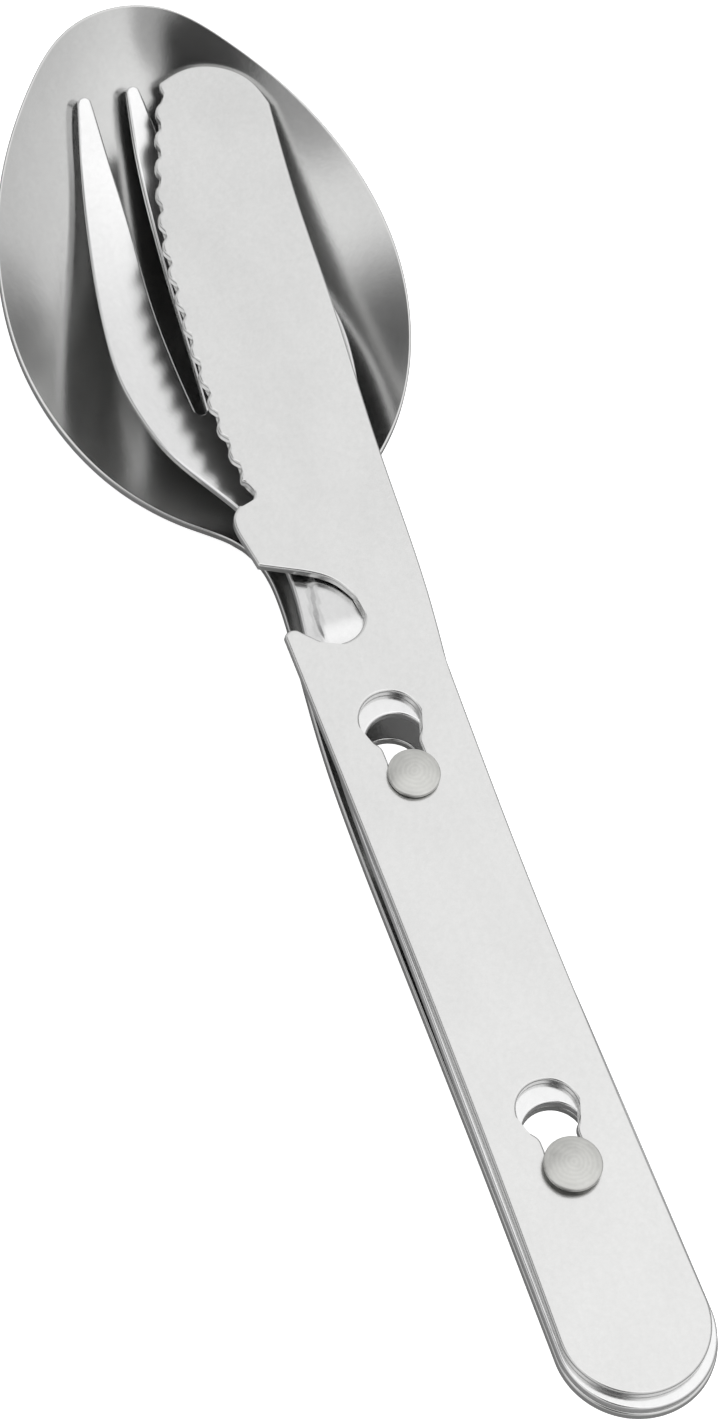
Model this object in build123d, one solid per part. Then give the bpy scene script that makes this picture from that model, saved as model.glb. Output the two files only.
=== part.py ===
"""Nesting picnic cutlery: a knife, a fork and a spoon of pressed stainless sheet.

The three pieces lie on each other, knife on top and spoon below. Two mushroom-headed
studs are riveted through the spoon's handle and stand up through keyholes in the fork
and the knife. A piece comes off by sliding towards the handle end until the round
part of its keyholes is under the stud heads.

Millimetres. +X runs from the bowl to the handle end, +Y to the knife's back, +Z up.
X = 0 is half the spoon's length, Y = 0 is the plane of symmetry of fork and spoon,
Z = 0 is the lowest point of the bowl.
"""
from build123d import *
import math
import os

os.makedirs("parts", exist_ok=True)

# Sheet and stack
SHEET = 1.0                  # thickness of every sheet
STACK_GAP = 0.05             # play between the flat handles
KNIFE_TOP = 14.232           # height of the knife's upper face above the lowest point of the bowl
KNIFE_BASE = KNIFE_TOP - SHEET
FORK_TOP = KNIFE_BASE - STACK_GAP
SPOON_TOP = FORK_TOP - SHEET - STACK_GAP

# Studs and keyholes
REAR_STUD_X = 60.5
STUD_PITCH = 48.8
STUD_XS = (REAR_STUD_X - STUD_PITCH, REAR_STUD_X)
NECK_D = 3.7
SLOT_W = 4.2
EYE_D = 6.95                 # round part of a keyhole
EYE_FILLET = 1.6             # rounds the two corners where the slot meets the eye
KNIFE_EYE = 7.1              # from stud axis to the middle of the eye
FORK_EYE = 4.8
PLUG_D = SLOT_W - 0.04       # stud's foot, seated in the spoon's slot
TAIL_D = 5.6
TAIL_H = 0.5
FRONT_HEAD_D = 5.8
REAR_HEAD_D = 6.4
HEAD_EDGE = 0.45             # straight side of a head
HEAD_CROWN = 0.5             # rise of its domed top
FRONT_HEAD_GAP = 0.2         # from the knife to the underside of the head
REAR_HEAD_GAP = 0.6

# Handle ends
KNIFE_END_R = 8.35
KNIFE_END_X = 87.4
FORK_END_R = 8.75
FORK_END_X = 88.7
SPOON_END_R = 8.9
SPOON_END_X = 89.0
PAD_START = 65.5             # underside of the spoon's handle is coined flat from here to its end
PAD_COINED = 0.03            # depth of the coining

# Bowl
BOWL_TIP_X = -89.0
BOWL_REAR_X = -21.6          # where the bowl's oval would close if there were no handle
BOWL_MID_X = (BOWL_TIP_X + BOWL_REAR_X) / 2
BOWL_HALF_L = (BOWL_REAR_X - BOWL_TIP_X) / 2
BOWL_HALF_W = 22.9
BOWL_DEPTH = 7.7             # below its rim
BOWL_POWER = 1.7             # how the sides rise: 1 is a cone, 2 is round, more is flat-bottomed
BOWL_TIP_POWER = 2.7         # the same towards the tip
BOWL_ROUND = 0.3             # share of the bowl that is rounded off at the very bottom
NECK_START = -31.0           # bowl blends into handle from here
NECK_END = -16.0             # to here

# Knife
TEETH_START_X = -28.0
TEETH_END = (-79.3, 2.85)
TOOTH_PITCH = 3.4
TOOTH_DEPTH = 0.85
TOOTH_TIP = 0.03             # drop of a tooth's rounded tip where its flank begins to turn

# Fork
TINE_TIP_X = -80.1
SLOT_ROOT_X = -40.3
SLOT_MOUTH_X = -86.0         # past the tine tips
DISH = 0.0105                # the front's rise over the square of Y
DISH_LEVEL_Y = 7.4           # where dishing leaves the height unchanged
RIB_H = 0.35


def smooth(t):
    """Smooth step from 0 to 1."""
    t = max(0.0, min(1.0, t))
    return t * t * (3 - 2 * t)


def through(stations, x):
    """Smooth curve through (x, value) stations, level beyond both ends."""
    if x <= stations[0][0]:
        return stations[0][1]
    if x >= stations[-1][0]:
        return stations[-1][1]
    n = len(stations)
    slopes = [0.0] * n
    for i in range(1, n - 1):
        (xa, za), (xb, zb), (xc, zc) = stations[i - 1:i + 2]
        left = (zb - za) / (xb - xa)
        right = (zc - zb) / (xc - xb)
        slopes[i] = (left * (xc - xb) + right * (xb - xa)) / (xc - xa)
    slopes[0] = (stations[1][1] - stations[0][1]) / (stations[1][0] - stations[0][0])
    i = max(k for k in range(n - 1) if stations[k][0] <= x)
    (xa, za), (xb, zb) = stations[i], stations[i + 1]
    h = xb - xa
    t = (x - xa) / h
    return ((2 * t**3 - 3 * t**2 + 1) * za + (t**3 - 2 * t**2 + t) * h * slopes[i]
            + (3 * t**2 - 2 * t**3) * zb + (t**3 - t**2) * h * slopes[i + 1])


def pressed_sheet(height, x0, x1, half_width, step=2.5):
    """A sheet of constant thickness whose upper side follows height(x, y)."""
    columns = round((x1 - x0) / step)
    rows = round(2 * half_width / step)
    upper = []
    lower = []
    for i in range(columns + 1):
        x = x0 + (x1 - x0) * i / columns
        upper.append([])
        lower.append([])
        for j in range(rows + 1):
            y = -half_width + 2 * half_width * j / rows
            top = Vector(x, y, height(x, y))
            slope_x = (height(x + 0.05, y) - height(x - 0.05, y)) / 0.1
            slope_y = (height(x, y + 0.05) - height(x, y - 0.05)) / 0.1
            upper[-1].append(top)
            lower[-1].append(top - Vector(-slope_x, -slope_y, 1).normalized() * SHEET)
    faces = [Face.make_surface_from_array_of_points(grid, tol=0.01) for grid in (upper, lower)]
    for edge in faces[0].edges():
        middle = edge.position_at(0.5)
        partner = min(faces[1].edges(), key=lambda e: (e.position_at(0.5) - middle).length)
        faces.append(Face.make_surface_from_curves(edge, partner))
    return Solid(Shell(faces))


def prism(outline, z0, z1):
    """The closed outline as a solid between two heights."""
    return extrude(Pos(0, 0, z0) * outline, z1 - z0)


def round_ended(side, tip, end_x, end_r):
    """Symmetric outline from its +Y side, closed by a point or a straight line and a round end."""
    other = [(x, -y) for x, y in side]
    end = ThreePointArc(side[-1], (end_x, 0), other[-1])
    if tip:
        return make_face(Wire([Spline(*side[::-1], tip, *other), end]))
    return make_face(Wire([Spline(*side), end, Spline(*other), Line(side[0], other[0])]))


def keyholes(eye_offset):
    """The two keyholes of a handle, as an outline: slot at the stud, eye towards the bowl."""
    holes = Sketch()
    for x in STUD_XS:
        eye = Pos(x - eye_offset, 0) * Circle(EYE_D / 2)
        slot_end = Pos(x, 0) * Circle(SLOT_W / 2)
        slot = Pos(x - eye_offset / 2, 0) * Rectangle(eye_offset, SLOT_W)
        hole = eye + slot_end + slot
        corner_x = x - eye_offset + math.sqrt(EYE_D**2 - SLOT_W**2) / 2
        corners = [v for v in hole.vertices() if abs(v.X - corner_x) < 0.05]
        holes += fillet(corners, EYE_FILLET)
    return holes


# ---------------------------------------------------------------- knife

def edge_curve(x):
    """Y of the line that the teeth's tips follow, by X."""
    return through([(-79.5, 3.1), (-77.2, 1.8), (-70.7, -0.7), (-64.3, -2.8), (-58.0, -4.15),
                    (-50.0, -5.1), (-42.0, -5.7), (-35.0, -5.95), (-28.0, -5.6)], x)


def tooth_gap(start, end):
    """Edges from one tooth's tip to the next: rounded tips, straight flanks, a sharp valley."""
    (xa, ya), (xb, yb) = start, end
    length = math.hypot(xb - xa, yb - ya)

    def at(share, depth):
        return (xa + (xb - xa) * share + (yb - ya) / length * depth,
                ya + (yb - ya) * share - (xb - xa) / length * depth)

    leaving = at(0.15, TOOTH_TIP), at(0.27, TOOTH_DEPTH * 0.3)
    arriving = at(0.73, TOOTH_DEPTH * 0.3), at(0.85, TOOTH_TIP)
    valley = at(0.5, TOOTH_DEPTH)
    return [ThreePointArc(start, *leaving), Line(leaving[1], valley), Line(valley, arriving[0]),
            ThreePointArc(*arriving, end)]


def knife_outline():
    """Blade with a serrated edge, bottle-opener hook and waisted handle."""
    back = Spline((-73.4, 14.0), (-60.0, 12.65), (-47.0, 11.95), (-29.0, 10.6),
                  (-8.5, 9.4), (-0.5, 8.45))
    end_x = KNIFE_END_X - KNIFE_END_R
    back_edge = Spline((-0.5, 8.45), (28.0, 7.78), (55.0, 7.92), (end_x, KNIFE_END_R))
    end = ThreePointArc((end_x, KNIFE_END_R), (KNIFE_END_X, 0), (end_x, -KNIFE_END_R))
    front_edge = Spline((end_x, -KNIFE_END_R), (55.0, -7.78), (28.0, -7.57), (-8.4, -7.65))
    # bottle opener: claw, round throat, straight upper lip
    claw = ThreePointArc((-8.4, -7.65), (-8.95, -6.7), (-8.4, -5.7))
    throat_in = Line((-8.4, -5.7), (-6.95, -4.25))
    throat = ThreePointArc((-6.95, -4.25), (-6.3, 0.0), (-11.3, 1.25))
    lip = Spline((-11.3, 1.25), (-14.4, -1.3), (-17.5, -7.45), tangents=((-0.93, -0.3), (-0.45, -0.9)))
    shoulder = Spline((-17.5, -7.45), (-20.4, -7.95), (-24.3, -7.87), (-25.3, -6.9))
    stop = ThreePointArc((-25.3, -6.9), (-26.5, -4.75), (TEETH_START_X, edge_curve(TEETH_START_X)))
    # teeth from the shoulder to the tip
    edges = [back, back_edge, end, front_edge, claw, throat_in, throat, lip, shoulder, stop]
    count = round((TEETH_START_X - TEETH_END[0]) / TOOTH_PITCH)
    pitch = (TEETH_START_X - TEETH_END[0]) / count
    starts = [TEETH_START_X - pitch * i for i in range(count)]
    tips = [(x, edge_curve(x)) for x in starts] + [TEETH_END]
    for start, end in zip(tips, tips[1:]):
        edges += tooth_gap(start, end)
    tip = Spline(TEETH_END, (-80.3, 6.3), (-79.4, 10.2), (-77.0, 12.8), (-73.4, 14.0),
                 tangents=((-0.75, 0.66), (1.0, -0.05)))
    edges.append(tip)
    return make_face(Wire(edges))


def make_knife():
    """Flat sheet with its two keyholes."""
    body = prism(knife_outline(), KNIFE_BASE, KNIFE_TOP)
    body -= prism(keyholes(KNIFE_EYE), KNIFE_BASE - 1, KNIFE_TOP + 1)
    return body


# ---------------------------------------------------------------- fork

def fork_profile(x):
    """Height of the fork's upper side: level handle, dropped neck, tines that rise again."""
    return FORK_TOP + through([(-92.0, 2.8), (TINE_TIP_X, -0.4), (-72.6, -3.2), (-61.6, -4.75), (-46.6, -4.1),
                               (-31.6, -2.45), (-18.6, -1.0), (-9.5, -0.42), (-4.5, 0.0), (0.0, 0.0)], x)


def fork_height(x, y):
    """Profile plus a shallow rib pressed up along the neck, with the front dished across."""
    rib_half = 1.2 + 2.2 * smooth((x + 21.0) / 14.0)
    along = smooth((x + 24.0) / 8.0) * smooth((-5.5 - x) / 4.0)
    rib = RIB_H * along * smooth((rib_half + 0.5 - abs(y)) / 1.0)
    dished = smooth((-20.0 - x) / 12.0) * smooth((x + 83.0) / 25.0)
    return fork_profile(x) + rib + DISH * (y**2 - DISH_LEVEL_Y**2) * dished


def fork_outline():
    """Outer edge of the fork, blunt across the tine tips."""
    side = [(TINE_TIP_X, 6.6), (-73.0, 8.4), (-63.9, 10.5), (-51.9, 12.75), (-46.0, 13.25), (-41.0, 12.75),
            (-35.4, 11.3), (-30.4, 8.6), (-26.0, 6.2), (-18.0, 4.15), (-9.0, 5.0), (0.0, 6.4), (10.0, 7.4),
            (28.0, 7.85), (45.4, 8.2), (62.0, 8.5), (FORK_END_X - FORK_END_R, FORK_END_R)]
    return round_ended(side, None, FORK_END_X, FORK_END_R)


def tine_slot():
    """Gap between the middle tine and the +Y tine, open past the tips."""
    middle = Spline((SLOT_MOUTH_X, 0.45), (-82.0, 0.72), (-77.3, 1.17), (-65.7, 2.4), (-55.0, 3.35),
                    (-47.5, 4.1), (SLOT_ROOT_X, 4.95))
    root = ThreePointArc((SLOT_ROOT_X, 4.95), (SLOT_ROOT_X + 0.63, 5.55), (SLOT_ROOT_X, 6.2))
    outer = Spline((SLOT_ROOT_X, 6.2), (-45.0, 6.24), (-55.8, 5.85), (-66.0, 4.95), (-75.5, 4.9),
                   (SLOT_MOUTH_X, 5.1))
    mouth = Line((SLOT_MOUTH_X, 5.1), (SLOT_MOUTH_X, 0.45))
    return make_face(Wire([middle, root, outer, mouth]))


def make_fork():
    """Three-tined fork, bent along its length from one sheet."""
    outline = fork_outline()
    slots = tine_slot() + mirror(tine_slot(), Plane.XZ)
    body = pressed_sheet(fork_height, -90.0, 91.0, 16.0)
    body &= prism(outline, FORK_TOP - 12, FORK_TOP + 5)
    body -= prism(slots, FORK_TOP - 12, FORK_TOP + 5)
    body -= prism(keyholes(FORK_EYE), FORK_TOP - 3, FORK_TOP + 3)
    return body


# ---------------------------------------------------------------- spoon

def spoon_edge_line(x):
    """Height of the spoon's rim and handle: level pad, bowed handle, rim rising to the tip."""
    return SPOON_TOP + through([(-92.0, 5.6), (-89.0, 4.5), (-60.0, -1.4), (-34.6, -5.9), (-25.0, -6.85),
                                (-15.0, -6.6), (-2.0, -5.8), (4.5, -5.0), (16.0, -3.4), (30.0, -1.7),
                                (44.0, -0.5), (56.0, 0.0), (66.0, 0.0)], x)


def oval_half_width(u):
    """Half width of the bowl's oval, where u runs from -1 at the tip to 1 at the rear."""
    return BOWL_HALF_W * (1.0 + 0.02 * u - 0.235 * u**2)


def bowl_rise(rho, power):
    """Rise from the bowl's bottom to its rim, 0 to 1, at rho of the way out."""
    low = BOWL_ROUND**power
    high = (1 + BOWL_ROUND**2)**(power / 2)
    return ((rho**2 + BOWL_ROUND**2)**(power / 2) - low) / (high - low)


def spoon_height(x, y):
    """Upper side of the spoon: an oval bowl that blends into the handle."""
    u = (x - BOWL_MID_X) / BOWL_HALF_L
    width = oval_half_width(max(-1.1, min(1.1, u)))
    rho = max(math.hypot(u, y / width), 1e-6)
    toward_tip = (u / rho)**4 if u < 0 else 0.0
    power = BOWL_POWER + (BOWL_TIP_POWER - BOWL_POWER) * toward_tip
    bowl = BOWL_DEPTH * (1 - bowl_rise(rho, power))
    blend = smooth((x - NECK_START) / (NECK_END - NECK_START))
    return spoon_edge_line(x) - bowl * (1 - blend)


def spoon_outline():
    """Oval bowl, narrow neck and a handle that widens to a round end."""
    side = [(-87.4, 6.2), (-82.6, 11.7), (-72.6, 18.4), (-62.6, 21.9), (-52.6, 22.8), (-42.6, 20.7),
            (-34.6, 16.2), (-29.6, 10.9), (-25.4, 6.1), (-21.0, 4.5), (-12.6, 4.6), (3.4, 6.5),
            (15.4, 7.4), (30.4, 8.0), (45.4, 8.4), (62.0, 8.65), (SPOON_END_X - SPOON_END_R, SPOON_END_R)]
    return round_ended(side, (BOWL_TIP_X, 0), SPOON_END_X, SPOON_END_R)


def make_spoon():
    """Bowl and handle pressed from one sheet, with a flat pad at the handle end."""
    outline = spoon_outline()
    body = pressed_sheet(spoon_height, -93.0, 93.0, 25.0, step=2.0)
    body &= prism(outline, -5, KNIFE_TOP + 12)
    body -= prism(keyholes(FORK_EYE), SPOON_TOP - 12, SPOON_TOP + 3)
    coined = SPOON_TOP - SHEET + PAD_COINED
    body -= Pos(PAD_START + 50, 0, coined - 2) * Box(100, 40, 4)
    return body


# ---------------------------------------------------------------- studs

def make_stud(x, head_d, head_base):
    """Turned stud: upset tail, foot in the spoon's slot, neck and domed mushroom head."""
    seat = spoon_height(x, 0)
    slope = (spoon_height(x + 1, 0) - spoon_height(x - 1, 0)) / 2
    shoulder = seat - SHEET / 4
    tail_top = seat - SHEET - 0.1 - abs(slope) * TAIL_D / 2
    tail = tail_top - TAIL_H
    rim = head_base + HEAD_EDGE
    dome_r = ((head_d / 2)**2 + HEAD_CROWN**2) / (2 * HEAD_CROWN)
    outline = Polyline((0, tail), (TAIL_D / 2 - 0.3, tail), (TAIL_D / 2, tail + 0.3), (TAIL_D / 2, tail_top),
                       (PLUG_D / 2, tail_top), (PLUG_D / 2, shoulder), (NECK_D / 2, shoulder),
                       (NECK_D / 2, head_base), (head_d / 2 - 0.12, head_base), (head_d / 2, head_base + 0.12),
                       (head_d / 2, rim))
    dome = RadiusArc((head_d / 2, rim), (0, rim + HEAD_CROWN), -dome_r)
    axis = Line((0, rim + HEAD_CROWN), (0, tail))
    half = make_face(Wire([*outline.edges(), dome, axis]))
    return Pos(x, 0, 0) * revolve(Plane.XZ * half, Axis.Z)


front_x, rear_x = STUD_XS
parts = {
    "knife": make_knife(),
    "fork": make_fork(),
    "spoon": make_spoon(),
    "front_stud": make_stud(front_x, FRONT_HEAD_D, KNIFE_TOP + FRONT_HEAD_GAP),
    "rear_stud": make_stud(rear_x, REAR_HEAD_D, KNIFE_TOP + REAR_HEAD_GAP),
}
for name, shape in parts.items():
    export_step(shape, f"parts/{name}.step")
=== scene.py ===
"""Looks of a nesting picnic knife, fork and spoon: pressed, polished steel sheet on two studs.

Lengths in the shape section are millimetres in the frame's own axes; meshes are made in metres.
"""
import math

import bpy
import numpy as np
from mathutils import Matrix, Vector
from mathutils.geometry import delaunay_2d_cdt


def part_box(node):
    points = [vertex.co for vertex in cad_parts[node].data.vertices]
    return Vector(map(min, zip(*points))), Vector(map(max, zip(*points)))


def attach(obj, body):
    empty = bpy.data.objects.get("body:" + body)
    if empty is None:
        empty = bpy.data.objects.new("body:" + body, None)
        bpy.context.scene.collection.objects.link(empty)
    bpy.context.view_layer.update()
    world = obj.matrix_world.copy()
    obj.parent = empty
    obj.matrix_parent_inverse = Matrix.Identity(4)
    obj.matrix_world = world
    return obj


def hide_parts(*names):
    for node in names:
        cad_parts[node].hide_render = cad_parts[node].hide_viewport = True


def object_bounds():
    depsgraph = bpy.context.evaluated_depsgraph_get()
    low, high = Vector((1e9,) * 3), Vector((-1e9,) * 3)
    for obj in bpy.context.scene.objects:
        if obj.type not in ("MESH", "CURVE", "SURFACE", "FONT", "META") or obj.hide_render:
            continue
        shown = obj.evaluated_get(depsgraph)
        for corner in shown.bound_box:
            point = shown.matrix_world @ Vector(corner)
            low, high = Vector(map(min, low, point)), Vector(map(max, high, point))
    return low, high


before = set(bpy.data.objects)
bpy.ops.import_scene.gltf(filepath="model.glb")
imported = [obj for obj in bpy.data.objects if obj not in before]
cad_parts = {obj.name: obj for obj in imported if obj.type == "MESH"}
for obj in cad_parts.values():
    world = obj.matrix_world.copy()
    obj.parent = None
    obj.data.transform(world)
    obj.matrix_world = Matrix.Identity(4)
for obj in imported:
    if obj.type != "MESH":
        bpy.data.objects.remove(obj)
cad_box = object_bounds()

MM = 0.001
SHEET = 1.0                      # thickness of every sheet
EDGE_R = 0.32                    # rolled-over upper edge left by stamping
UNDER_R = 0.10                   # lower edge
EDGE_STEPS = 4
KNIFE_MESH = 3.0                 # spacing of mesh points: wide on the flat knife
FORK_MESH = 0.5                  # fine enough for the rib's flanks
SPOON_MESH = 1.0

# Places taken from the frame
KNIFE_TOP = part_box("knife")[1].z / MM
KNIFE_END_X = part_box("knife")[1].x / MM
FORK_END_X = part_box("fork")[1].x / MM
SPOON_END_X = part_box("spoon")[1].x / MM
BOWL_TIP_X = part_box("spoon")[0].x / MM
STUD_XS = [(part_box(n)[0].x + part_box(n)[1].x) / 2 / MM for n in ("front_stud", "rear_stud")]
STACK_GAP = 0.05
FORK_TOP = KNIFE_TOP - SHEET - STACK_GAP
SPOON_TOP = FORK_TOP - SHEET - STACK_GAP

# Keyholes and handle ends
SLOT_W = 4.2
EYE_R = 3.475
EYE_FILLET = 1.6
KNIFE_EYE = 7.1
FORK_EYE = 4.8
KNIFE_END_R = 8.35
FORK_END_R = 8.75
SPOON_END_R = 8.9

# Teeth
TOOTH_PITCH = 3.4
TOOTH_DEPTH = 0.85
TEETH_START = -28.0
TEETH_END = (-79.3, 2.85)

# Fork: stiffening rib pressed into its neck, and a dished front
RIB_HEIGHT = 0.35
DISH = 0.0105                    # rise over the square of Y
DISH_LEVEL_Y = 7.4               # where the dish changes nothing

# Bowl
BOWL_REAR_X = -21.6
BOWL_MID_X = (BOWL_TIP_X + BOWL_REAR_X) / 2
BOWL_HALF_L = (BOWL_REAR_X - BOWL_TIP_X) / 2
BOWL_HALF_W = 22.9
BOWL_DEPTH = 7.7
BOWL_POWER = 1.7                 # how the sides rise: 1 is a cone, 2 is round, more is flat-bottomed
BOWL_TIP_POWER = 2.7
BOWL_ROUND = 0.3                 # share of the bowl that is rounded off at the very bottom
NECK_START = -31.0
NECK_END = -16.0

# Noise in the steel: how many features there are to a metre, and the range that is used of it
GRAIN_SCALE = 5500.0
PIT_SCALE = 1500.0
WEAR_SCALE = 900.0
PATCH_SCALE = 130.0
HAIRLINE_SCALE = 90.0
HAIRLINE_STRETCH = 60.0          # how much longer than wide a hairline is
NOISE_LOW, NOISE_HIGH = 0.3, 0.7

# Heights of marks in the steel, in metres, and the spacing of the rings turned into the studs
HAIRLINE_DEPTH = 1.0e-6
WEAR_DEPTH = 2.0e-5
RING_HEIGHT = 1.2e-6
RING_PITCH = 0.0005
RING_WANDER = 1.2                # how far wear shifts the rings, in rings

# Light: a white tent over a floor that looks darker in the steel than to the eye
TENT_LIGHT = 1.74
TENT_LOW = 0.42                  # brightness at the horizon, as a share of the roof's
FLOOR_HALF = 3.0                 # metres
FLOOR_GAP = 0.0004               # clearance under the set, in metres
FLOOR_SEEN = 0.9                 # tone to the eye
FLOOR_GLOW = 0.8                 # light of its own to the eye, so that it stays near white
FLOOR_REFLECTED = 0.38           # tone in the steel's reflections
FLOOR_ROUGH = 0.8
# azimuth, elevation, radius of the dark core, radius where it ends, how dark
DARK_OPENINGS = [
    (57.6, 62.0, 8.0, 17.0, 0.03),
    (55.0, 44.0, 10.0, 17.0, 0.05),
    (80.0, 42.0, 7.0, 14.0, 0.50),
    (24.0, 49.0, 5.0, 13.0, 0.40),
    (-40.0, 48.0, 2.0, 23.0, 0.15),
    (-166.0, 21.0, 4.0, 11.0, 0.32),
    (-95.0, 52.0, 4.0, 21.0, 0.62),
]

CAMERA_AZIMUTH = 57.584
CAMERA_ELEVATION = 61.3
CAMERA_ROLL = 13.974
CAMERA_DISTANCE = 0.9
CAMERA_TARGET = Vector((2.479, -2.843, KNIFE_TOP)) * MM
LENS_LENGTH = 210.063425         # millimetres, like the sensor's height
SENSOR_HEIGHT = 36.0


# ---------------------------------------------------------------- curves

def smooth(t):
    """Smooth step from 0 to 1."""
    t = np.clip(t, 0.0, 1.0)
    return t * t * (3 - 2 * t)


def second_slopes(s, v):
    """Second derivatives of the natural cubic spline through v at parameters s."""
    n = len(s)
    h = np.diff(s)
    a = np.eye(n)
    b = np.zeros(n)
    for i in range(1, n - 1):
        a[i, i - 1:i + 2] = h[i - 1], 2 * (h[i - 1] + h[i]), h[i]
        b[i] = 6 * ((v[i + 1] - v[i]) / h[i] - (v[i] - v[i - 1]) / h[i - 1])
    return np.linalg.solve(a, b)


def spline_values(s, v, m, q):
    """Values at q of the natural cubic spline with second derivatives m."""
    i = np.clip(np.searchsorted(s, q) - 1, 0, len(s) - 2)
    h = s[i + 1] - s[i]
    a = (s[i + 1] - q) / h
    b = (q - s[i]) / h
    return a * v[i] + b * v[i + 1] + ((a**3 - a) * m[i] + (b**3 - b) * m[i + 1]) * h * h / 6


def spline(*points, step=0.3):
    """Points along a smooth curve through the given points."""
    p = np.array(points, float)
    s = np.concatenate([[0], np.cumsum(np.hypot(*np.diff(p, axis=0).T))])
    q = np.linspace(0, s[-1], max(3, int(s[-1] / step) + 1))
    return np.stack([spline_values(s, p[:, k], second_slopes(s, p[:, k]), q) for k in (0, 1)], 1)


def line(a, b, step=0.3):
    """Points along a straight line."""
    count = max(2, int(math.dist(a, b) / step) + 1)
    return np.linspace(a, b, count)


def arc(centre, radius, start, sweep, step=0.25):
    """Points along an arc, from the start angle through the sweep, in radians."""
    count = max(4, int(abs(sweep) * radius / step) + 1)
    angle = start + np.linspace(0, sweep, count)
    return np.stack([centre[0] + radius * np.cos(angle), centre[1] + radius * np.sin(angle)], 1)


def arc_through(a, m, b, step=0.2):
    """Points along the arc from a through m to b."""
    (ax, ay), (mx, my), (bx, by) = a, m, b
    d = 2 * (ax * (my - by) + mx * (by - ay) + bx * (ay - my))
    sa, sm, sb = ax**2 + ay**2, mx**2 + my**2, bx**2 + by**2
    cx = (sa * (my - by) + sm * (by - ay) + sb * (ay - my)) / d
    cy = (sa * (bx - mx) + sm * (ax - bx) + sb * (mx - ax)) / d
    start = math.atan2(ay - cy, ax - cx)
    middle = (math.atan2(my - cy, mx - cx) - start) % math.tau
    sweep = (math.atan2(by - cy, bx - cx) - start) % math.tau
    if middle > sweep:
        sweep -= math.tau
    return arc((cx, cy), math.hypot(ax - cx, ay - cy), start, sweep, step)


def closed(pieces, outer=True):
    """One closed loop from pieces that follow each other, metal always on its left."""
    p = np.concatenate([piece[:-1] for piece in pieces])
    keep = np.hypot(*(p - np.roll(p, 1, axis=0)).T) > 0.02
    p = p[keep]
    x, y = p.T
    area = np.sum(x * np.roll(y, -1) - y * np.roll(x, -1)) / 2
    return p if (area > 0) == outer else p[::-1]


def through(stations, x):
    """Smooth height curve through (x, value) stations, level beyond both ends."""
    s = np.array(stations, float)
    h = np.diff(s[:, 0])
    rise = np.diff(s[:, 1]) / h
    slope = np.concatenate([[rise[0]], (rise[:-1] * h[1:] + rise[1:] * h[:-1]) / (h[1:] + h[:-1]), [0.0]])
    x = np.clip(x, s[0, 0], s[-1, 0])
    i = np.clip(np.searchsorted(s[:, 0], x, side="right") - 1, 0, len(h) - 1)
    t = (x - s[i, 0]) / h[i]
    return ((2 * t**3 - 3 * t**2 + 1) * s[i, 1] + (t**3 - 2 * t**2 + t) * h[i] * slope[i]
            + (3 * t**2 - 2 * t**3) * s[i + 1, 1] + (t**3 - t**2) * h[i] * slope[i + 1])


# ---------------------------------------------------------------- outlines

def keyhole(stud_x, eye_offset):
    """Slot that ends at the stud, opening through two rounded corners into the round eye."""
    half = SLOT_W / 2
    eye_x = stud_x - eye_offset
    reach = math.sqrt((EYE_R + EYE_FILLET)**2 - (half + EYE_FILLET)**2)
    lean = math.atan2(half + EYE_FILLET, reach)
    corner = (eye_x + reach, half + EYE_FILLET)
    touch = (eye_x + EYE_R * math.cos(lean), EYE_R * math.sin(lean))
    upper = [line((stud_x, half), (corner[0], half)),
             arc(corner, EYE_FILLET, -math.pi / 2, -(math.pi / 2 - lean))]
    lower = [(piece * (1, -1))[::-1] for piece in upper[::-1]]
    upper[-1][-1] = touch
    lower[0][0] = touch[0], -touch[1]
    return closed([arc((stud_x, 0), half, -math.pi / 2, math.pi), *upper,
                   arc((eye_x, 0), EYE_R, lean, math.tau - 2 * lean), *lower], outer=False)


def keyholes(eye_offset):
    """Both keyholes of a handle."""
    return [keyhole(x, eye_offset) for x in STUD_XS]


def edge_curve(x):
    """Y of the line that the teeth's tips follow, by X."""
    return through([(-79.5, 3.1), (-77.2, 1.8), (-70.7, -0.7), (-64.3, -2.8), (-58.0, -4.15),
                    (-50.0, -5.1), (-42.0, -5.7), (-35.0, -5.95), (-28.0, -5.6)], x)


def tooth_gap(start, end):
    """From one tooth's tip to the next: rounded tips, straight flanks, a sharp valley."""
    a, b = np.array(start), np.array(end)
    length = np.hypot(*(b - a))
    along = (b - a) / length
    inward = np.array([along[1], -along[0]])

    def at(t, depth):
        return tuple(a + along * length * t + inward * depth)

    return [arc_through(start, at(0.15, 0.03), at(0.27, TOOTH_DEPTH * 0.3)),
            line(at(0.27, TOOTH_DEPTH * 0.3), at(0.5, TOOTH_DEPTH)),
            line(at(0.5, TOOTH_DEPTH), at(0.73, TOOTH_DEPTH * 0.3)),
            arc_through(at(0.73, TOOTH_DEPTH * 0.3), at(0.85, 0.03), end)]


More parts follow.
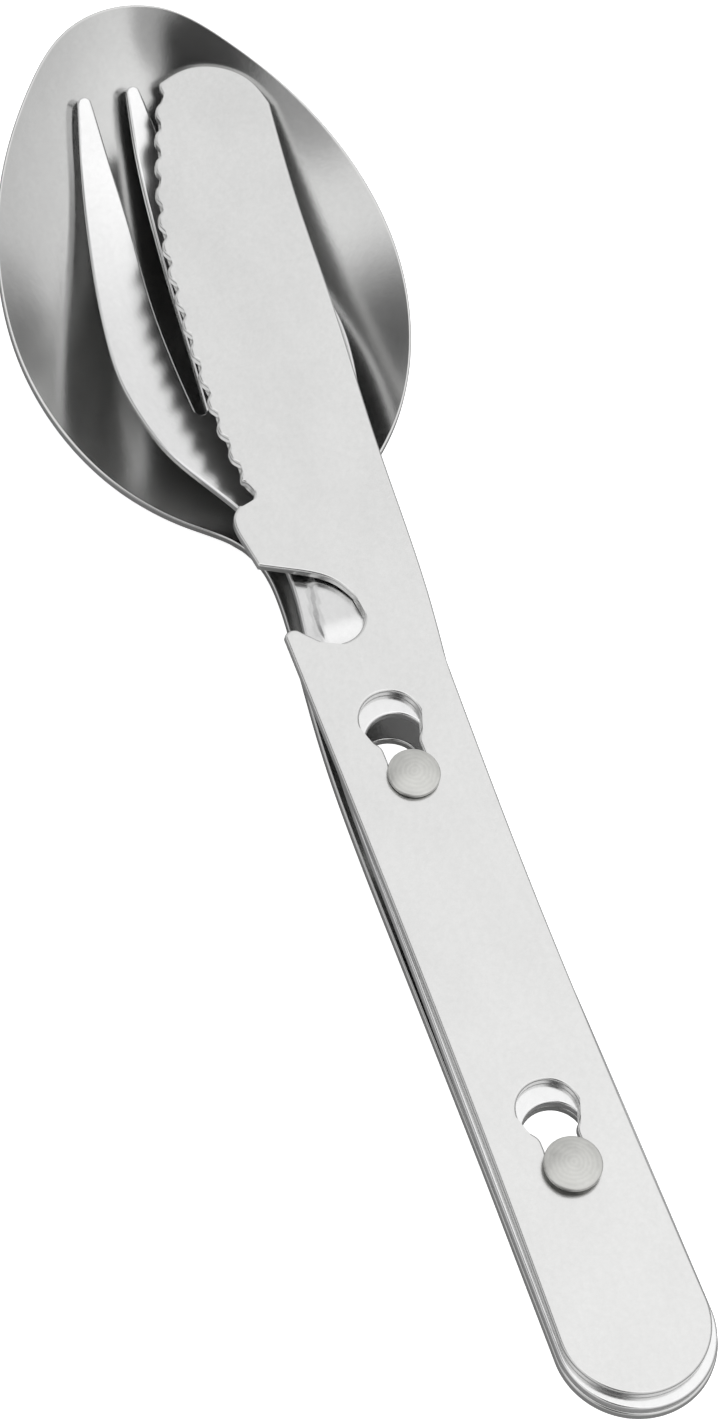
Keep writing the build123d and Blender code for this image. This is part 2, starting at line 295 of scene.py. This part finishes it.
def knife_outline():
    """Blade with a serrated edge, bottle-opener hook and waisted handle."""
    end_x = KNIFE_END_X - KNIFE_END_R
    pieces = [
        spline((-73.4, 14.0), (-60.0, 12.65), (-47.0, 11.95), (-29.0, 10.6), (-8.5, 9.4), (-0.5, 8.45)),
        spline((-0.5, 8.45), (28.0, 7.78), (55.0, 7.92), (end_x, KNIFE_END_R)),
        arc((end_x, 0), KNIFE_END_R, math.pi / 2, -math.pi),
        spline((end_x, -KNIFE_END_R), (55.0, -7.78), (28.0, -7.57), (-8.4, -7.65)),
        arc_through((-8.4, -7.65), (-8.95, -6.7), (-8.4, -5.7)),
        line((-8.4, -5.7), (-6.95, -4.25)),
        arc_through((-6.95, -4.25), (-6.3, 0.0), (-11.3, 1.25)),
        spline((-11.3, 1.25), (-13.1, 0.2), (-14.6, -1.5), (-16.0, -4.2), (-17.5, -7.45)),
        spline((-17.5, -7.45), (-20.4, -7.95), (-24.3, -7.87), (-25.3, -6.9)),
        arc_through((-25.3, -6.9), (-26.5, -4.75), (TEETH_START, -5.6)),
    ]
    count = round((TEETH_START - TEETH_END[0]) / TOOTH_PITCH)
    pitch = (TEETH_START - TEETH_END[0]) / count
    tips = [(x, float(edge_curve(x))) for x in (TEETH_START - pitch * i for i in range(count))]
    tips.append(TEETH_END)
    for a, b in zip(tips, tips[1:]):
        pieces += tooth_gap(a, b)
    pieces.append(spline(TEETH_END, (-80.3, 6.3), (-79.4, 10.2), (-77.0, 12.8), (-73.4, 14.0)))
    return closed(pieces)


def fork_outline():
    """Three tapering tines, shoulders, narrow neck and a handle that widens to a round end."""
    side = [(-80.1, 6.6), (-73.0, 8.4), (-63.9, 10.5), (-51.9, 12.75), (-46.0, 13.25), (-41.0, 12.75),
            (-35.4, 11.3), (-30.4, 8.6), (-26.0, 6.2), (-18.0, 4.15), (-9.0, 5.0), (0.0, 6.4), (10.0, 7.4),
            (28.0, 7.85), (45.4, 8.2), (62.0, 8.5), (FORK_END_X - FORK_END_R, FORK_END_R)]
    tip_x, root_x = -80.1, -40.3
    middle = [(tip_x, 0.75), (-77.3, 1.17), (-65.7, 2.4), (-55.0, 3.35), (-47.5, 4.1), (root_x, 4.95)]
    inner = [(root_x, 6.2), (-45.0, 6.24), (-55.8, 5.85), (-66.0, 4.95), (-75.5, 4.9), (tip_x, 5.0)]
    half = [spline(*middle),
            arc_through(middle[-1], (root_x + 0.63, 5.575), inner[0]),
            spline(*inner),
            arc_through(inner[-1], (tip_x - 0.55, 5.8), side[0]),
            spline(*side),
            arc((FORK_END_X - FORK_END_R, 0), FORK_END_R, math.pi / 2, -math.pi / 2)]
    other = [(piece * (1, -1))[::-1] for piece in half[::-1]]
    nose = arc_through((tip_x, -0.75), (tip_x - 0.45, 0), (tip_x, 0.75))
    return closed([*half, *other, nose])


def spoon_outline():
    """Oval bowl, narrow neck and a handle that widens to a round end."""
    side = [(-87.4, 6.2), (-82.6, 11.7), (-72.6, 18.4), (-62.6, 21.9), (-52.6, 22.8), (-42.6, 20.7),
            (-34.6, 16.2), (-29.6, 10.9), (-25.4, 6.1), (-21.0, 4.5), (-12.6, 4.6), (3.4, 6.5),
            (15.4, 7.4), (30.4, 8.0), (45.4, 8.4), (62.0, 8.65), (SPOON_END_X - SPOON_END_R, SPOON_END_R)]
    other = [(x, -y) for x, y in side]
    end = arc((SPOON_END_X - SPOON_END_R, 0), SPOON_END_R, -math.pi / 2, math.pi)
    return closed([spline(*side[::-1], (BOWL_TIP_X, 0), *other), end])


# ---------------------------------------------------------------- heights

def knife_height(x, y):
    """The knife is flat."""
    return np.full_like(x, KNIFE_TOP)


def fork_height(x, y):
    """Level handle, dropped neck with a shallow pressed rib, tines that rise again."""
    profile = through([(-92.0, 2.8), (-80.1, -0.4), (-72.6, -3.2), (-61.6, -4.75), (-46.6, -4.1),
                       (-31.6, -2.45), (-18.6, -1.0), (-9.5, -0.42), (-4.5, 0.0), (0.0, 0.0)], x)
    rib_half = 1.2 + 2.2 * smooth((x + 21.0) / 14.0)
    along = smooth((x + 24.0) / 8.0) * smooth((-5.5 - x) / 4.0)
    flank = np.maximum(along, 0.5)
    rib = RIB_HEIGHT * along * smooth((rib_half + flank / 2 - np.abs(y)) / flank)
    dish = DISH * (y**2 - DISH_LEVEL_Y**2) * smooth((-20.0 - x) / 12.0) * smooth((x + 83.0) / 25.0)
    return FORK_TOP + profile + rib + dish


def spoon_edge_line(x):
    """Height of the spoon's rim and handle: level pad, bowed handle, rim rising to the tip."""
    return SPOON_TOP + through([(-92.0, 5.6), (-89.0, 4.5), (-60.0, -1.4), (-34.6, -5.9), (-25.0, -6.85),
                                (-15.0, -6.6), (-2.0, -5.8), (4.5, -5.0), (16.0, -3.4), (30.0, -1.7),
                                (44.0, -0.5), (56.0, 0.0), (66.0, 0.0)], x)


def spoon_height(x, y):
    """A deep oval bowl that blends into the handle."""
    u = (x - BOWL_MID_X) / BOWL_HALF_L
    v = np.clip(u, -1.1, 1.1)
    width = BOWL_HALF_W * (1.0 + 0.02 * v - 0.235 * v**2)
    rho = np.maximum(np.hypot(u, y / width), 1e-6)
    power = BOWL_POWER + np.where(u < 0, BOWL_TIP_POWER - BOWL_POWER, 0.0) * (u / rho)**4
    low = BOWL_ROUND**power
    fall = 1 - ((rho**2 + BOWL_ROUND**2)**(power / 2) - low) / ((1 + BOWL_ROUND**2)**(power / 2) - low)
    edge = spoon_edge_line(x)
    blend = smooth((x - NECK_START) / (NECK_END - NECK_START))
    return (edge - BOWL_DEPTH * fall) * (1 - blend) + edge * blend


# ---------------------------------------------------------------- meshes

def into_metal(loop):
    """Unit direction into the metal at every point of a loop, with corners mitred."""
    ahead = np.roll(loop, -1, axis=0) - loop
    ahead /= np.hypot(*ahead.T)[:, None]
    left = np.stack([-ahead[:, 1], ahead[:, 0]], 1)
    both = left + np.roll(left, 1, axis=0)
    size = np.maximum(np.hypot(*both.T), 1e-6)[:, None]
    unit = both / size
    return unit, unit * np.minimum(2 / size, 1.5)


def inside(points, loops):
    """Which points lie in the metal, by counting crossings."""
    odd = np.zeros(len(points), bool)
    for loop in loops:
        nxt = np.roll(loop, -1, axis=0)
        for (ax, ay), (bx, by) in zip(loop, nxt):
            if ay != by:
                crosses = (points[:, 1] > min(ay, by)) & (points[:, 1] <= max(ay, by))
                at = ax + (points[:, 1] - ay) * (bx - ax) / (by - ay)
                odd ^= crosses & (points[:, 0] < at)
    return odd


def grid_points(loops, spacing):
    """A staggered grid of points in the metal, clear of its edges."""
    low, high = loops[0].min(0), loops[0].max(0)
    rows = np.arange(low[1], high[1], spacing * 0.87)
    points = np.array([(x + (k % 2) * spacing / 2, y) for k, y in enumerate(rows)
                       for x in np.arange(low[0], high[0], spacing)])
    points = points[inside(points, loops)]
    edge = np.concatenate(loops)
    near = np.array([np.min(np.hypot(*(edge - p).T)) for p in points])
    return points[near > 0.55 * spacing]


def triangles(points, loops, spans, longest):
    """Triangles over the metal between constrained loops, none with a side above the longest."""
    edges = [(a + i, a + (i + 1) % (b - a)) for a, b in spans for i in range(b - a)]
    _, _, faces, sources, _, _ = delaunay_2d_cdt([Vector(p) for p in points], edges, [], 0, 1e-7)
    source = [s[0] for s in sources]
    tris = np.array([[source[i] for i in f] for f in faces])
    corners = points[tris]
    sides = np.linalg.norm(corners - np.roll(corners, 1, axis=1), axis=2).max(1)
    return tris[inside(corners.mean(1), loops) & (sides < longest)]


def pressed_sheet(name, loops, height, spacing):
    """A sheet with rounded edges that follows a height function, with exact normals."""
    turns = np.linspace(0, math.pi / 2, EDGE_STEPS + 1)
    rings = [(EDGE_R * (1 - math.sin(t)), EDGE_R * (1 - math.cos(t)), t) for t in turns]
    rings += [(UNDER_R * (1 - math.sin(t)), SHEET - UNDER_R * (1 - math.cos(t)), math.pi - t)
              for t in turns[::-1]]
    unit, mitred = zip(*(into_metal(loop) for loop in loops))
    unit, mitred, flat = np.concatenate(unit), np.concatenate(mitred), np.concatenate(loops)
    count = len(flat)
    ends = np.cumsum([len(loop) for loop in loops])
    spans = list(zip(ends - [len(loop) for loop in loops], ends))
    inner = grid_points(loops, spacing)
    plan, depth, turn, outward = [], [], [], []
    for inset, down, tilt in rings:
        plan.append(flat + mitred * inset)
        depth.append(np.full(count, down))
        turn.append(np.full(count, tilt))
        outward.append(-unit)
    for down, tilt in ((0.0, 0.0), (SHEET, math.pi)):
        plan.append(inner)
        depth.append(np.full(len(inner), down))
        turn.append(np.full(len(inner), tilt))
        outward.append(np.zeros_like(inner))
    plan, depth, turn, outward = (np.concatenate(v) for v in (plan, depth, turn, outward))

    x, y = plan.T
    d = 0.02
    slope_x = (height(x + d, y) - height(x - d, y)) / (2 * d)
    slope_y = (height(x, y + d) - height(x, y - d)) / (2 * d)
    up = np.stack([-slope_x, -slope_y, np.ones_like(x)], 1)
    up /= np.linalg.norm(up, axis=1)[:, None]
    coords = np.stack([x, y, height(x, y) - depth / up[:, 2]], 1)
    side = np.stack([outward[:, 0], outward[:, 1], np.zeros_like(x)], 1)
    normals = up * np.cos(turn)[:, None] + side * np.sin(turn)[:, None]
    normals /= np.linalg.norm(normals, axis=1)[:, None]

    top = triangles(np.concatenate([plan[:count], inner]), loops, spans, 2.5 * spacing)
    last = (len(rings) - 1) * count
    first_inner = len(rings) * count
    upper = np.where(top < count, top, top - count + first_inner)
    under = np.where(top < count, top + last, top - count + first_inner + len(inner))
    faces = [tuple(t) for t in upper] + [tuple(t[::-1]) for t in under]
    for k in range(len(rings) - 1):
        for a, b in spans:
            for i in range(a, b):
                j = a + (i + 1 - a) % (b - a)
                faces.append((k * count + j, k * count + i, (k + 1) * count + i, (k + 1) * count + j))
    return mesh_piece(name, coords * MM, faces, normals)


def mesh_piece(name, coords, faces, normals=None):
    """A smooth-shaded mesh object, with its normals set where they are known."""
    mesh = bpy.data.meshes.new(name)
    mesh.from_pydata([tuple(c) for c in coords], [], [tuple(int(i) for i in f) for f in faces])
    mesh.polygons.foreach_set("use_smooth", [True] * len(mesh.polygons))
    mesh.update()
    if normals is not None:
        mesh.normals_split_custom_set_from_vertices([tuple(n) for n in normals])
    piece = bpy.data.objects.new(name, mesh)
    bpy.context.scene.collection.objects.link(piece)
    return piece


def lathe(name, centre_x, profile, around=96):
    """A turned piece from (radius, height) points, bottom to top, closed on its axis."""
    profile = np.array(profile, float)
    angle = np.linspace(0, math.tau, around, endpoint=False)
    ring = [np.stack([centre_x + r * np.cos(angle), r * np.sin(angle), np.full(around, z)], 1)
            for r, z in profile[1:-1]]
    coords = np.concatenate([[(centre_x, 0, profile[0, 1])], *ring, [(centre_x, 0, profile[-1, 1])]])
    top = len(coords) - 1
    faces = []
    for i in range(around):
        j = (i + 1) % around
        faces.append((0, 1 + j, 1 + i))
        for k in range(len(ring) - 1):
            a, b = 1 + k * around, 1 + (k + 1) * around
            faces.append((a + i, a + j, b + j, b + i))
        faces.append((top - around + i, top - around + j, top))
    return mesh_piece(name, coords * MM, faces)


def stud(name, node):
    """Mushroom stud: upset tail, foot, neck and a domed head with an eased rim."""
    low, high = (np.array(v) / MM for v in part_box(node))
    centre_x = (low[0] + high[0]) / 2
    head_r = (high[0] - low[0]) / 2
    tail_r, neck_r, foot_r = 2.8, 1.85, 2.08
    tail_h, tail_ease, foot_h, neck_step = 0.5, 0.3, 0.75, 0.05
    crown, rim, ease = 0.5, 0.45, 0.14
    top, base = high[2], high[2] - crown - rim
    tail = low[2] + tail_h
    dome_r = (head_r**2 + crown**2) / (2 * crown)
    profile = [(0, low[2]), (tail_r - tail_ease, low[2]), (tail_r, low[2] + tail_ease), (tail_r, tail),
               (foot_r, tail), (foot_r, tail + foot_h), (neck_r, tail + foot_h + neck_step),
               (neck_r, base)]
    profile += [(head_r - ease + ease * math.sin(t), base + ease - ease * math.cos(t))
                for t in np.linspace(0, math.pi / 2, 5)]
    dome_edge = head_r - 0.16
    dome = [(r, top - dome_r + math.sqrt(dome_r**2 - r**2)) for r in np.linspace(dome_edge, 0.0, 18)]
    shoulder = [(head_r - inset, dome[0][1] - drop)
                for inset, drop in ((0, 0.13), (0.03, 0.06), (0.08, 0.02))]
    return lathe(name, centre_x, profile + shoulder + dome)


# ---------------------------------------------------------------- materials

class Nodes:
    """Short calls for building one material's node tree."""

    def __init__(self, name):
        self.material = bpy.data.materials.new(name)
        self.material.use_nodes = True
        self.tree = self.material.node_tree
        self.shader = self.tree.nodes["Principled BSDF"]
        self.place = self.add("ShaderNodeTexCoord").outputs["Object"]

    def add(self, kind, **values):
        """A node with inputs and properties set, linked where a value is a socket."""
        node = self.tree.nodes.new(kind)
        for key, value in values.items():
            if key in node.inputs:
                self.put(node.inputs[key], value)
            else:
                setattr(node, key, value)
        return node

    def put(self, socket, value):
        """Sets or links one input."""
        if isinstance(value, bpy.types.NodeSocket):
            self.tree.links.new(value, socket)
        else:
            socket.default_value = value

    def stretched(self, scale):
        """Object coordinates stretched by a scale per axis."""
        node = self.add("ShaderNodeMapping", Vector=self.place)
        node.inputs["Scale"].default_value = scale
        return node.outputs["Vector"]

    def noise(self, vector, scale, detail=2.0, rough=0.5):
        """Noise from 0 to 1."""
        return self.add("ShaderNodeTexNoise", Vector=vector, Scale=scale, Detail=detail,
                        Roughness=rough).outputs["Fac"]

    def spread(self, value, low, high, out_low, out_high):
        """value mapped from one range to another, clamped."""
        node = self.add("ShaderNodeMapRange")
        for name, v in zip(("Value", "From Min", "From Max", "To Min", "To Max"),
                           (value, low, high, out_low, out_high)):
            self.put(node.inputs[name], v)
        return node.outputs["Result"]

    def tinted(self, tone, shade):
        """A colour made lighter or darker by a value."""
        node = self.add("ShaderNodeMix", data_type="RGBA", blend_type="MULTIPLY")
        node.inputs[0].default_value = 1.0
        node.inputs[6].default_value = (*tone, 1.0)
        self.put(node.inputs[7], shade)
        return node.outputs[2]

    def combine(self, a, b, operation="ADD"):
        """Two values added, or combined by another operation."""
        node = self.add("ShaderNodeMath", operation=operation)
        self.put(node.inputs[0], a)
        self.put(node.inputs[1], b)
        return node.outputs[0]


def finish_steel(n, tone, shade, roughness, height):
    """Connects colour, roughness and bump to a metal shader."""
    bump = n.add("ShaderNodeBump", Height=height, Strength=1.0, Distance=1.0)
    n.put(n.shader.inputs["Base Color"], n.tinted(tone, shade))
    n.put(n.shader.inputs["Metallic"], 1.0)
    n.put(n.shader.inputs["Roughness"], roughness)
    n.put(n.shader.inputs["Normal"], bump.outputs["Normal"])
    return n.material


def steel(name, tone, roughness, grain, pitting):
    """Polished stainless sheet: fine grain, faint pits and hairlines, uneven polish."""
    n = Nodes(name)
    fine = n.noise(n.place, GRAIN_SCALE, 3.0, 0.65)
    pits = n.noise(n.place, PIT_SCALE, 4.0, 0.7)
    patches = n.noise(n.stretched((0.6, 1.0, 1.0)), PATCH_SCALE, 4.0, 0.6)
    stretch = (1.0, HAIRLINE_STRETCH, HAIRLINE_STRETCH)
    along = n.noise(n.stretched(stretch), HAIRLINE_SCALE, 2.0, 0.5)
    # A wider range than this showed as blotches on the flat knife
    rough = n.spread(patches, NOISE_LOW, NOISE_HIGH, roughness * 0.85, roughness * 1.1)
    mottled = n.spread(patches, 0.35, 0.68, 0.965, 1.02)
    shade = n.combine(mottled, n.spread(pits, NOISE_LOW, NOISE_HIGH, 0.97, 1.02), "MULTIPLY")
    height = n.combine(n.combine(fine, grain, "MULTIPLY"), n.combine(pits, pitting, "MULTIPLY"))
    height = n.combine(height, n.combine(along, HAIRLINE_DEPTH, "MULTIPLY"))
    return finish_steel(n, tone, shade, rough, height)


def distance_to_stud(n, x):
    """Distance from the axis of the stud at x, in metres."""
    shift = n.add("ShaderNodeVectorMath", operation="SUBTRACT")
    n.put(shift.inputs[0], n.place)
    shift.inputs[1].default_value = (x * MM, 0.0, 0.0)
    flat = n.add("ShaderNodeVectorMath", operation="MULTIPLY")
    n.put(flat.inputs[0], shift.outputs[0])
    flat.inputs[1].default_value = (1.0, 1.0, 0.0)
    length = n.add("ShaderNodeVectorMath", operation="LENGTH")
    n.put(length.inputs[0], flat.outputs[0])
    return length.outputs["Value"]


def turned_steel(name, tone, roughness):
    """Stud heads: rings left by the lathe around each stud's own axis, blurred by wear."""
    n = Nodes(name)
    worn = n.noise(n.place, WEAR_SCALE, 4.0, 0.65)
    front, rear = (distance_to_stud(n, x) for x in STUD_XS)
    ring = n.combine(n.combine(front, rear, "MINIMUM"), RING_PITCH, "DIVIDE")
    ring = n.combine(ring, n.combine(worn, RING_WANDER, "MULTIPLY"))
    wave = n.combine(n.combine(ring, math.tau, "MULTIPLY"), 0.0, "SINE")
    dulled = n.spread(worn, NOISE_LOW, NOISE_HIGH, 0.90, 1.04)
    shade = n.combine(dulled, n.spread(wave, -1.0, 1.0, 0.96, 1.03), "MULTIPLY")
    rough = n.spread(worn, NOISE_LOW, NOISE_HIGH, roughness * 0.87, roughness * 1.2)
    height = n.combine(n.combine(wave, RING_HEIGHT, "MULTIPLY"), n.combine(worn, WEAR_DEPTH, "MULTIPLY"))
    return finish_steel(n, tone, shade, rough, height)


# ---------------------------------------------------------------- pieces

knife_steel = steel("knife_steel", (0.66, 0.66, 0.655), 0.24, 3.0e-6, 3.5e-6)
fork_steel = steel("fork_steel", (0.74, 0.74, 0.74), 0.20, 2.0e-6, 3.0e-6)
spoon_steel = steel("spoon_steel", (0.575, 0.575, 0.57), 0.17, 2.0e-6, 4.0e-6)
stud_steel = turned_steel("stud_steel", (0.55, 0.55, 0.53), 0.33)

pieces = [
    (pressed_sheet("knife_sheet", [knife_outline(), *keyholes(KNIFE_EYE)], knife_height, KNIFE_MESH),
     "knife", "knife", "sheet_steel", knife_steel),
    (pressed_sheet("fork_sheet", [fork_outline(), *keyholes(FORK_EYE)], fork_height, FORK_MESH),
     "fork", "fork", "sheet_steel", fork_steel),
    (pressed_sheet("spoon_sheet", [spoon_outline(), *keyholes(FORK_EYE)], spoon_height, SPOON_MESH),
     "spoon", "spoon", "spoon_steel", spoon_steel),
    (stud("front_stud_turned", "front_stud"), "spoon", "front_stud", "stud_steel", stud_steel),
    (stud("rear_stud_turned", "rear_stud"), "spoon", "rear_stud", "stud_steel", stud_steel),
]
for piece, body, node, slot, material in pieces:
    piece.data.materials.append(material)
    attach(piece, body)
    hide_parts(node)


# ---------------------------------------------------------------- floor, light, camera

def make_floor():
    """A pale table under the set."""
    corners = [(FLOOR_HALF * x, FLOOR_HALF * y, 0) for x, y in ((-1, -1), (1, -1), (1, 1), (-1, 1))]
    piece = mesh_piece("floor", corners, [(0, 1, 2, 3)])
    piece.location.z = cad_box[0][2] - FLOOR_GAP
    n = Nodes("floor_white")
    seen = n.add("ShaderNodeLightPath").outputs["Is Camera Ray"]
    n.put(n.shader.inputs["Base Color"], n.spread(seen, 0.0, 1.0, FLOOR_REFLECTED, FLOOR_SEEN))
    n.put(n.shader.inputs["Roughness"], FLOOR_ROUGH)
    n.put(n.shader.inputs["Emission Color"], (1.0, 1.0, 1.0, 1.0))
    n.put(n.shader.inputs["Emission Strength"], n.combine(seen, FLOOR_GLOW, "MULTIPLY"))
    piece.data.materials.append(n.material)


def direction(azimuth, elevation):
    """Unit vector from the object, azimuth 0 towards -Y and growing towards +X."""
    a, e = math.radians(azimuth), math.radians(elevation)
    return Vector((math.sin(a) * math.cos(e), -math.cos(a) * math.cos(e), math.sin(e)))


def make_world():
    """A white tent with darker openings, as gradients over direction."""
    world = bpy.data.worlds.new("tent")
    bpy.context.scene.world = world
    world.use_nodes = True
    tree = world.node_tree
    tree.nodes.clear()
    place = tree.nodes.new("ShaderNodeTexCoord").outputs["Generated"]
    apart = tree.nodes.new("ShaderNodeSeparateXYZ")
    tree.links.new(place, apart.inputs[0])
    rise = tree.nodes.new("ShaderNodeMapRange")
    tree.links.new(apart.outputs["Z"], rise.inputs["Value"])
    rise.inputs["From Min"].default_value = 0.0
    rise.inputs["From Max"].default_value = 1.0
    rise.inputs["To Min"].default_value = TENT_LOW
    rise.inputs["To Max"].default_value = 1.0
    light = rise.outputs["Result"]
    for azimuth, elevation, inner, outer, level in DARK_OPENINGS:
        dot = tree.nodes.new("ShaderNodeVectorMath")
        dot.operation = "DOT_PRODUCT"
        tree.links.new(place, dot.inputs[0])
        dot.inputs[1].default_value = direction(azimuth, elevation)
        spread = tree.nodes.new("ShaderNodeMapRange")
        spread.interpolation_type = "SMOOTHSTEP"
        tree.links.new(dot.outputs["Value"], spread.inputs["Value"])
        spread.inputs["From Min"].default_value = math.cos(math.radians(outer))
        spread.inputs["From Max"].default_value = math.cos(math.radians(inner))
        spread.inputs["To Min"].default_value = 1.0
        spread.inputs["To Max"].default_value = level
        both = tree.nodes.new("ShaderNodeMath")
        both.operation = "MULTIPLY"
        tree.links.new(light, both.inputs[0])
        tree.links.new(spread.outputs["Result"], both.inputs[1])
        light = both.outputs[0]
    background = tree.nodes.new("ShaderNodeBackground")
    strength = tree.nodes.new("ShaderNodeMath")
    strength.operation = "MULTIPLY"
    strength.inputs[1].default_value = TENT_LIGHT
    tree.links.new(light, strength.inputs[0])
    tree.links.new(strength.outputs[0], background.inputs["Strength"])
    output = tree.nodes.new("ShaderNodeOutputWorld")
    tree.links.new(background.outputs[0], output.inputs["Surface"])


def make_camera():
    """A long lens looking down onto the set from the handle end, rolled a little."""
    back = direction(CAMERA_AZIMUTH, CAMERA_ELEVATION)
    a, roll = math.radians(CAMERA_AZIMUTH), math.radians(CAMERA_ROLL)
    right = Vector((math.cos(a), math.sin(a), 0))
    up = back.cross(right)
    right, up = right * math.cos(roll) + up * math.sin(roll), up * math.cos(roll) - right * math.sin(roll)
    data = bpy.data.cameras.new("camera")
    data.sensor_fit = "VERTICAL"
    data.sensor_height = SENSOR_HEIGHT
    data.lens = LENS_LENGTH
    data.clip_start = 0.01
    camera = bpy.data.objects.new("camera", data)
    bpy.context.scene.collection.objects.link(camera)
    turn = Matrix((right, up, back)).transposed().to_4x4()
    camera.matrix_world = Matrix.Translation(CAMERA_TARGET + back * CAMERA_DISTANCE) @ turn
    bpy.context.scene.camera = camera


make_floor()
make_world()
make_camera()
bpy.context.scene.view_settings.view_transform = "Standard"
